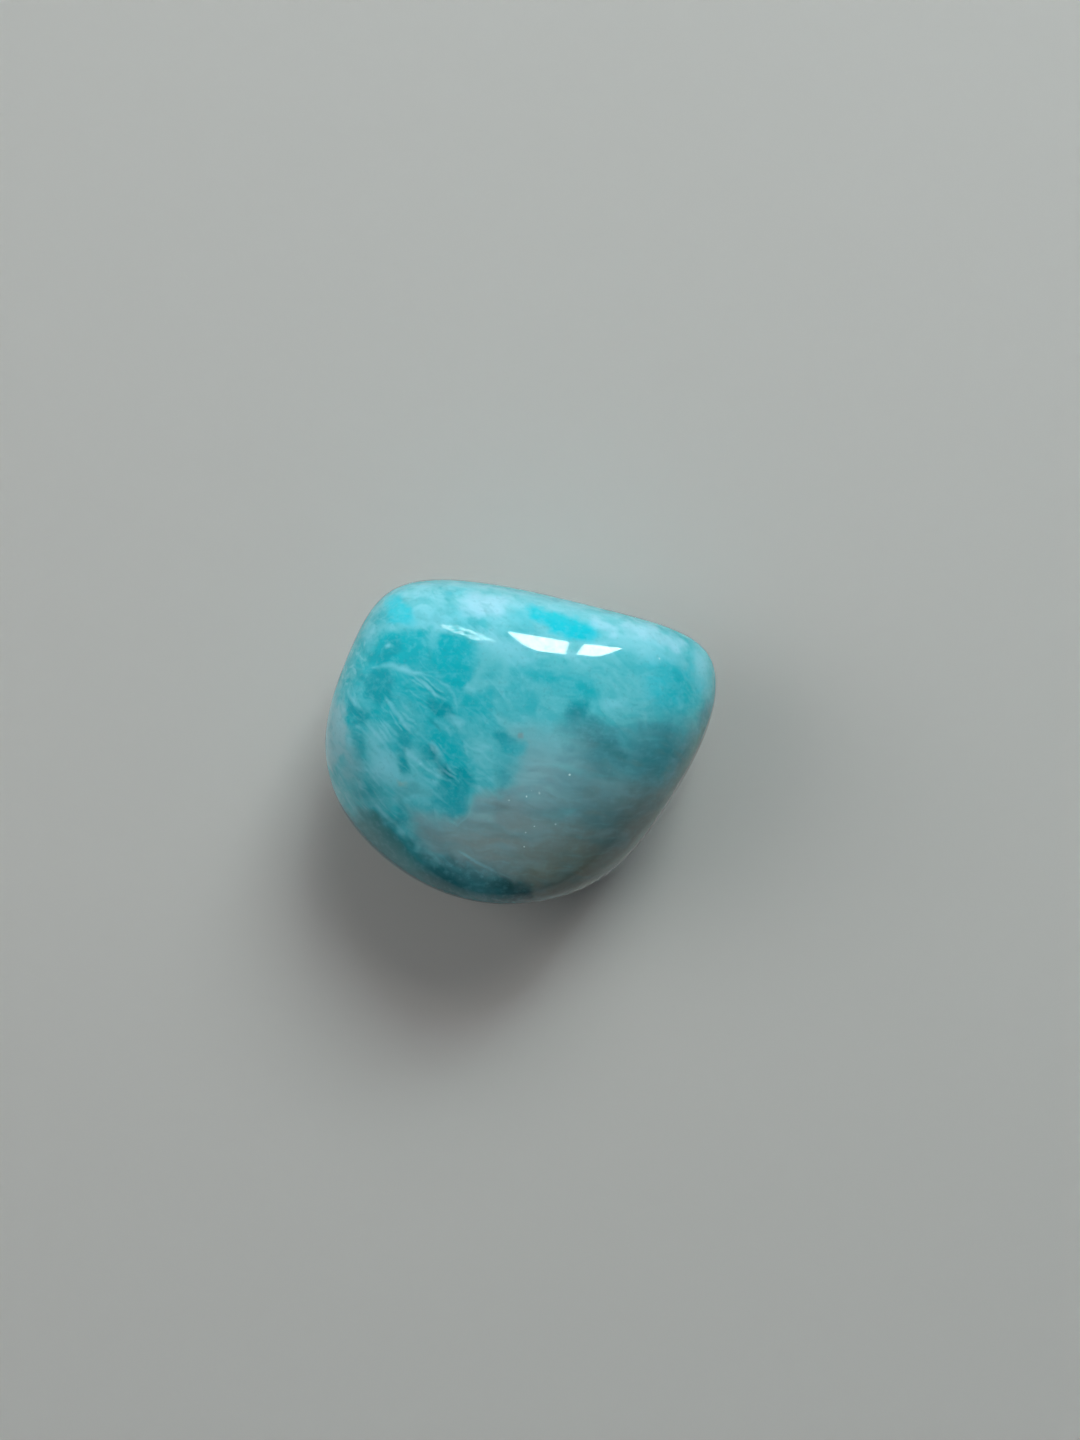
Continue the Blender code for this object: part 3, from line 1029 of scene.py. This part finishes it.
def flat_piece(name, corners, material):
    """One flat face through the corners."""
    data = bpy.data.meshes.new(name)
    data.from_pydata(corners, [], [range(len(corners))])
    data.materials.append(material)
    piece = bpy.data.objects.new(name, data)
    bpy.context.scene.collection.objects.link(piece)
    return piece


def toward(compass, rise, distance):
    """The place seen from the stone at a compass angle and a rise (degrees)."""
    level = math.cos(math.radians(rise))
    way = Vector((
        level * math.cos(math.radians(compass)),
        level * math.sin(math.radians(compass)),
        math.sin(math.radians(rise)),
    ))
    return way * distance + shift


# The window's lit panes: name, brightness, the share of it that is lost in dim places,
# and the compass angle and rise (degrees) of each corner seen from the stone.
PANES = (
    ("left_pane", 22.0, 0.15, ((80, 35), (71, 36), (67, 51), (73, 53), (76, 49))),
    ("right_pane", 22.0, 0.15, ((67, 35), (52, 27), (54, 39), (56, 45), (64, 49))),
    ("far_pane", 10.0, 1.0, (
        (100, 33), (93, 30), (88, 36), (83, 44), (79, 51), (82, 52), (87, 49), (93, 42))),
)
PANE_DISTANCE = 0.6
PANE_LIGHT = (0.82, 0.98, 1.0, 1.0)

# The noise that dims the panes: scale (per metre), detail, and the values of it at which
# a pane is dimmest and brightest.
DIMMING_SCALE = 45.0
DIMMING_DETAIL = 4.0
DIMMEST = 0.42
BRIGHTEST = 0.56


def lit_pane(name, brightness, lost, corners):
    """A glowing pane that is dimmer in places."""
    material = bpy.data.materials.new(name)
    material.use_nodes = True
    nodes = material.node_tree.nodes
    nodes.clear()
    glow = nodes.new("ShaderNodeEmission")
    glow.inputs["Color"].default_value = PANE_LIGHT
    place = nodes.new("ShaderNodeTexCoord")
    dimming = nodes.new("ShaderNodeTexNoise")
    dimming.inputs["Scale"].default_value = DIMMING_SCALE
    dimming.inputs["Detail"].default_value = DIMMING_DETAIL
    dimmed = nodes.new("ShaderNodeMapRange")
    dimmed.inputs["From Min"].default_value = DIMMEST
    dimmed.inputs["From Max"].default_value = BRIGHTEST
    dimmed.inputs["To Min"].default_value = brightness * (1.0 - lost)
    dimmed.inputs["To Max"].default_value = brightness
    surface = nodes.new("ShaderNodeOutputMaterial")
    for start, end in (
        (place.outputs["Object"], dimming.inputs["Vector"]),
        (dimming.outputs["Fac"], dimmed.inputs["Value"]),
        (dimmed.outputs["Result"], glow.inputs["Strength"]),
        (glow.outputs[0], surface.inputs["Surface"]),
    ):
        material.node_tree.links.new(start, end)
    places = [toward(*corner, PANE_DISTANCE) for corner in corners]
    pane = flat_piece(name, places, material)
    pane.visible_camera = False
    return pane


# Broad dim lamps: name, compass angle and rise (degrees) seen from the stone, width
# (metres) and brightness.
FILLS = (
    ("left_fill", 165.0, 40.0, 0.5, 2.9),
    ("window_fill", 67.0, 42.0, 0.4, 8.0),
)
FILL_DISTANCE = 0.8


def side_fill(name, compass, rise, width, brightness):
    """A lamp that lights the stone without showing in its polish."""
    data = bpy.data.lights.new(name, "AREA")
    data.size = width
    data.energy = brightness * math.pi * width * width
    lamp = bpy.data.objects.new(name, data)
    lamp.location = toward(compass, rise, FILL_DISTANCE)
    lamp.rotation_euler = (lamp.location - shift).to_track_quat("Z", "Y").to_euler()
    lamp.visible_glossy = False
    bpy.context.scene.collection.objects.link(lamp)


FLOOR_REACH = 3.0
FLOOR_SHADE = (178, 175, 170)
FLOOR_ROUGHNESS = 0.9
floor_corners = [
    (-FLOOR_REACH, -FLOOR_REACH, 0.0),
    (FLOOR_REACH, -FLOOR_REACH, 0.0),
    (FLOOR_REACH, FLOOR_REACH, 0.0),
    (-FLOOR_REACH, FLOOR_REACH, 0.0),
]
floor_finish = plain("floor", FLOOR_SHADE, FLOOR_ROUGHNESS)
flat_piece("floor", floor_corners, floor_finish)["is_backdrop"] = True
for pane in PANES:
    lit_pane(*pane)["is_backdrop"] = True
for fill in FILLS:
    side_fill(*fill)

# The room's own light: colour, the way to its brightest side, how far a way leans to
# that side where the room is darkest and brightest, and how bright it is there.
ROOM_COLOUR = (0.84, 0.91, 1.0, 1.0)
ROOM_WAY = (-0.35, 0.80, -0.49)
ROOM_LEANS = (-0.9, 0.9)
ROOM_BRIGHTNESS = (0.06, 0.42)


def light_room():
    """Dim overhead, brightest low down on the window's side, darkest across from it."""
    world = bpy.data.worlds.new("room")
    world.use_nodes = True
    tree = world.node_tree
    background = tree.nodes["Background"]
    background.inputs["Color"].default_value = ROOM_COLOUR
    way = tree.nodes.new("ShaderNodeTexCoord")
    lean = tree.nodes.new("ShaderNodeVectorMath")
    lean.operation = "DOT_PRODUCT"
    lean.inputs[1].default_value = ROOM_WAY
    strength = tree.nodes.new("ShaderNodeMapRange")
    strength.inputs["From Min"].default_value = ROOM_LEANS[0]
    strength.inputs["From Max"].default_value = ROOM_LEANS[1]
    strength.inputs["To Min"].default_value = ROOM_BRIGHTNESS[0]
    strength.inputs["To Max"].default_value = ROOM_BRIGHTNESS[1]
    tree.links.new(way.outputs["Generated"], lean.inputs[0])
    tree.links.new(lean.outputs["Value"], strength.inputs["Value"])
    tree.links.new(strength.outputs["Result"], background.inputs["Strength"])
    bpy.context.scene.world = world


light_room()
bpy.context.scene.view_settings.view_transform = "Standard"

# Nearest distance that the camera shows (metres).
NEAREST = 0.005
eye_data = bpy.data.cameras.new("eye")
eye_data.lens = LENS
eye_data.clip_start = NEAREST
eye = bpy.data.objects.new("eye", eye_data)
eye.location = Vector(EYE) * MM + shift
bpy.context.scene.collection.objects.link(eye)
bpy.context.scene.camera = eye

sizes = {"cad": cad_bounds, "finished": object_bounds()}
plain_sizes = json.loads(json.dumps(sizes, default=list))
